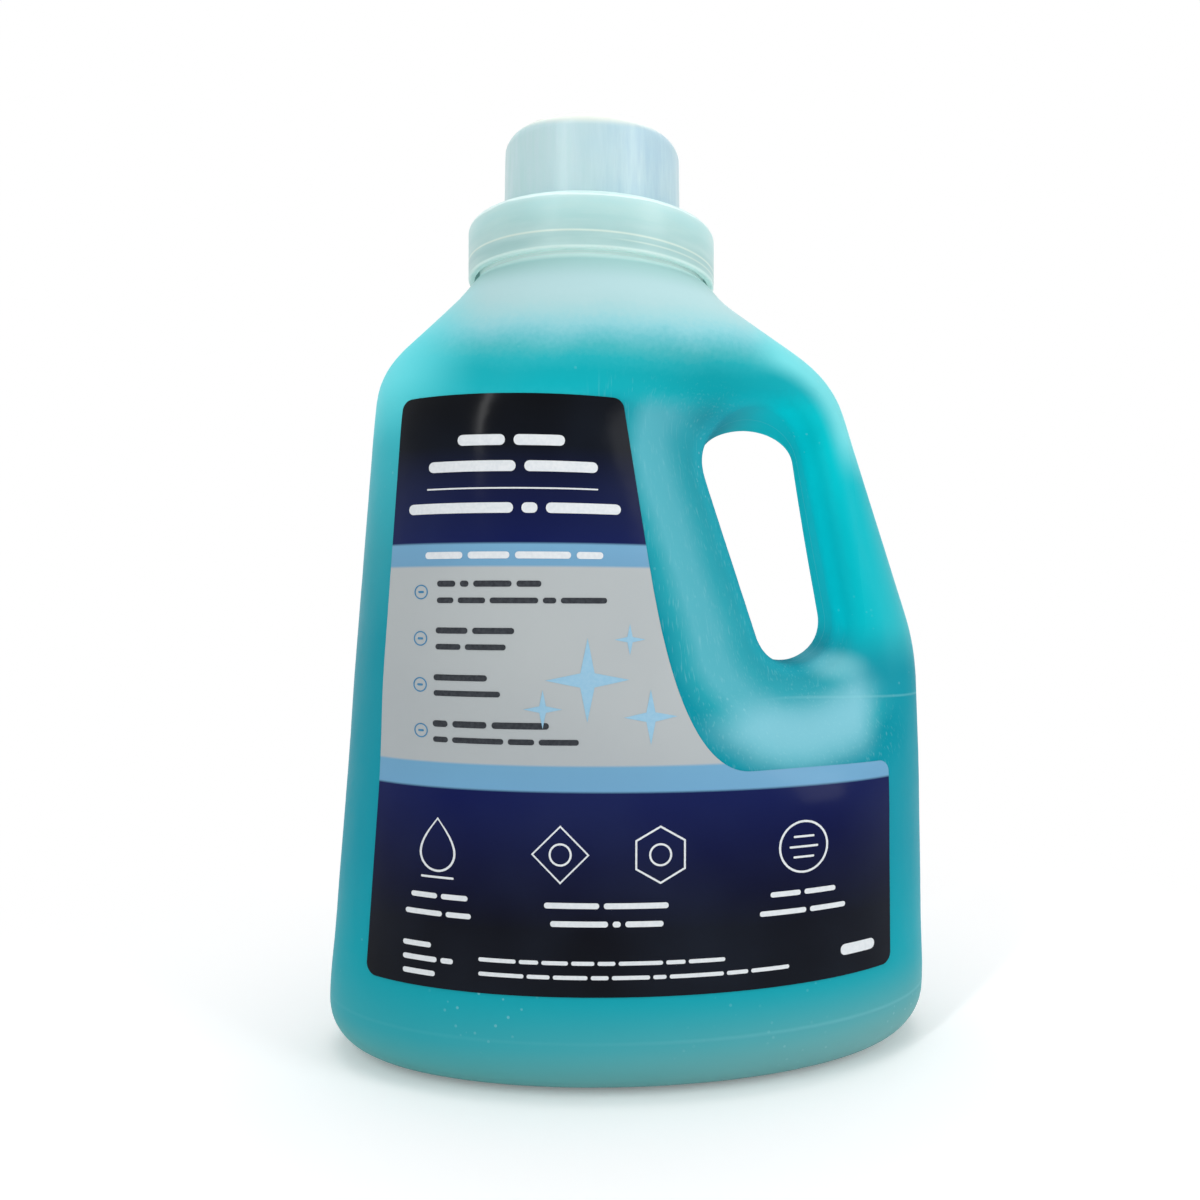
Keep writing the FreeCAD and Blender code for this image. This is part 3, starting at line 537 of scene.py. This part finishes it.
white += words(-35.6, 29.7, 0.9, [10.4, 5.2, 7.8, 4.0, 8.6, 3.0, 12.4, 5.0, 9.2])
white += [bar(49.0, 58.4, 31.4, 2.6)]
white += [drop(-45.6, 56.2, 4.4, 0.5), bar(-49.6, -41.6, 50.6, 0.5)]
white += [hoop(-17.0, 57.2, 6.6, 0.5, 4), hoop(-17.0, 57.2, 2.6, 0.45)]
white += [hoop(5.6, 57.2, 6.6, 0.5, 6), hoop(5.6, 57.2, 2.6, 0.45)]
white += [hoop(39.4, 57.2, 6.2, 0.5), bar(35.8, 43.0, 57.2, 0.5)]
white += [bar(36.8, 42.0, 59.6, 0.5), bar(36.8, 42.0, 54.8, 0.5)]
printed("label_print_white", white, ink("white_ink_on_film", "#dfe3e6", "#c3ccd3"))
# Four pairs of lines on the grey field, each with its small ring, and the stars beside them
dark = words(-45.6, 118.3, 1.4, [4.4, 2.0, 8.8, 5.6]) + words(-45.6, 114.5, 1.3, [4.0, 6.4, 11.0, 3.0, 10.4])
dark += words(-45.8, 107.6, 1.4, [7.6, 9.6]) + words(-45.8, 103.9, 1.3, [6.0, 9.4])
dark += words(-46.2, 96.9, 1.4, [12.6]) + words(-46.2, 93.3, 1.3, [15.6])
dark += words(-46.6, 86.2, 1.5, [3.6, 8.0, 13.0]) + words(-46.6, 82.5, 1.3, [3.6, 12.0, 6.0, 9.0])
printed("label_print_dark", dark, ink("dark_ink_on_film", "#33363b", "#53575c"))
blue = [hoop(-49.6, height, 1.7, 0.28) for height in (116.4, 105.7, 95.1, 84.4)]
blue += [bar(-50.3, -48.9, height, 0.5) for height in (116.4, 105.7, 95.1, 84.4)]
printed("label_print_blue", blue, ink("blue_ink_on_film", "#3f7da6", "#6f9fc0"))
stars = [sparkle(-11.0, 96.5, 9.5), sparkle(3.4, 88.0, 6.2), sparkle(-21.0, 90.0, 4.4), sparkle(-1.4, 105.6, 3.6)]
printed("label_print_pale_blue", stars, ink("pale_blue_ink_on_film", "#8fbad3", "#a4c6da"))

# Floor, light and camera


def pale_floor():
    """A pale floor that keeps the shadow near the bottle and runs into plain white further out."""
    made = bpy.data.materials.new("pale_floor")
    made.use_nodes = True
    tree = made.node_tree
    tree.nodes.clear()
    coords = add(tree, "TexCoord", out="Object")
    reach = add(tree, "VectorMath", (coords,), out="Value", operation="LENGTH")
    away = add(tree, "MapRange", (reach, 0.1, 0.26), interpolation_type="SMOOTHSTEP")
    camera_ray = add(tree, "LightPath", out="Is Camera Ray")
    glossy_ray = add(tree, "LightPath", out="Is Glossy Ray")
    rays = add(tree, "Math", (camera_ray, glossy_ray), operation="MAXIMUM")
    lift = add(tree, "Math", (rays, 0.16), operation="MULTIPLY")
    lift = add(tree, "Emission", {"Color": "#ffffff", "Strength": lift})
    lit = add(tree, "AddShader", (add(tree, "BsdfDiffuse", {"Color": "#fafafa"}), lift))
    plain = add(tree, "Emission", {"Color": "#ffffff", "Strength": 1.0})
    shown = add(tree, "Math", (rays, away), operation="MULTIPLY")
    add(tree, "OutputMaterial", {"Surface": add(tree, "MixShader", (shown, lit, plain))})
    return made


bpy.ops.mesh.primitive_plane_add(size=6, location=(0, 0, 0))
floor = bpy.context.object
floor.name = "floor"
floor.data.materials.append(pale_floor())

world = bpy.data.worlds.new("studio")
bpy.context.scene.world = world
world.use_nodes = True
sky = world.node_tree
sky.nodes.clear()
seen = add(sky, "Math", (
    add(sky, "LightPath", out="Is Camera Ray"),
    add(sky, "Math", (add(sky, "LightPath", out="Is Glossy Ray"), add(sky, "LightPath", out="Is Transmission Ray")),
        operation="MAXIMUM"),
), operation="MAXIMUM")
strength = add(sky, "MapRange", (seen, 0.0, 1.0, 0.5, 1.0))
add(sky, "OutputWorld", {"Surface": add(sky, "Background", {"Color": "#ffffff", "Strength": strength})})


def softbox(name, spot, aim, width, height, watts):
    """A soft rectangular lamp that faces a point."""
    bpy.ops.object.light_add(type="AREA", location=spot)
    lamp = bpy.context.object
    lamp.name = name
    lamp.data.shape = "RECTANGLE"
    lamp.data.size = width
    lamp.data.size_y = height
    lamp.data.energy = watts
    lamp.rotation_euler = (Vector(aim) - Vector(spot)).to_track_quat("-Z", "Y").to_euler()


softbox("key_lamp", (-0.55, -0.75, 0.75), (0, 0, 0.1), 0.06, 0.8, 3.2)
softbox("fill_lamp", (0.85, -0.6, 0.45), (0, 0, 0.1), 0.35, 0.9, 4.2)
softbox("top_lamp", (0.0, 0.1, 1.1), (0, 0, 0.1), 0.9, 0.9, 4.0)

# Camera as found from the outlines: of 1200 pixels across, the focal length is 1011.29 and the axis 90.5 off centre
bpy.ops.object.camera_add(location=(-0.00482, -0.2731, 0.11416))
camera = bpy.context.object
camera.rotation_euler = (math.pi / 2 + 0.0024, -0.0027, -0.0744)
camera.data.sensor_width = 36
camera.data.lens = 36 * 1011.29 / 1200
camera.data.shift_x = -90.5 / 1200
camera.data.clip_start = 0.01
bpy.context.scene.camera = camera
bpy.context.scene.view_settings.view_transform = "Standard"
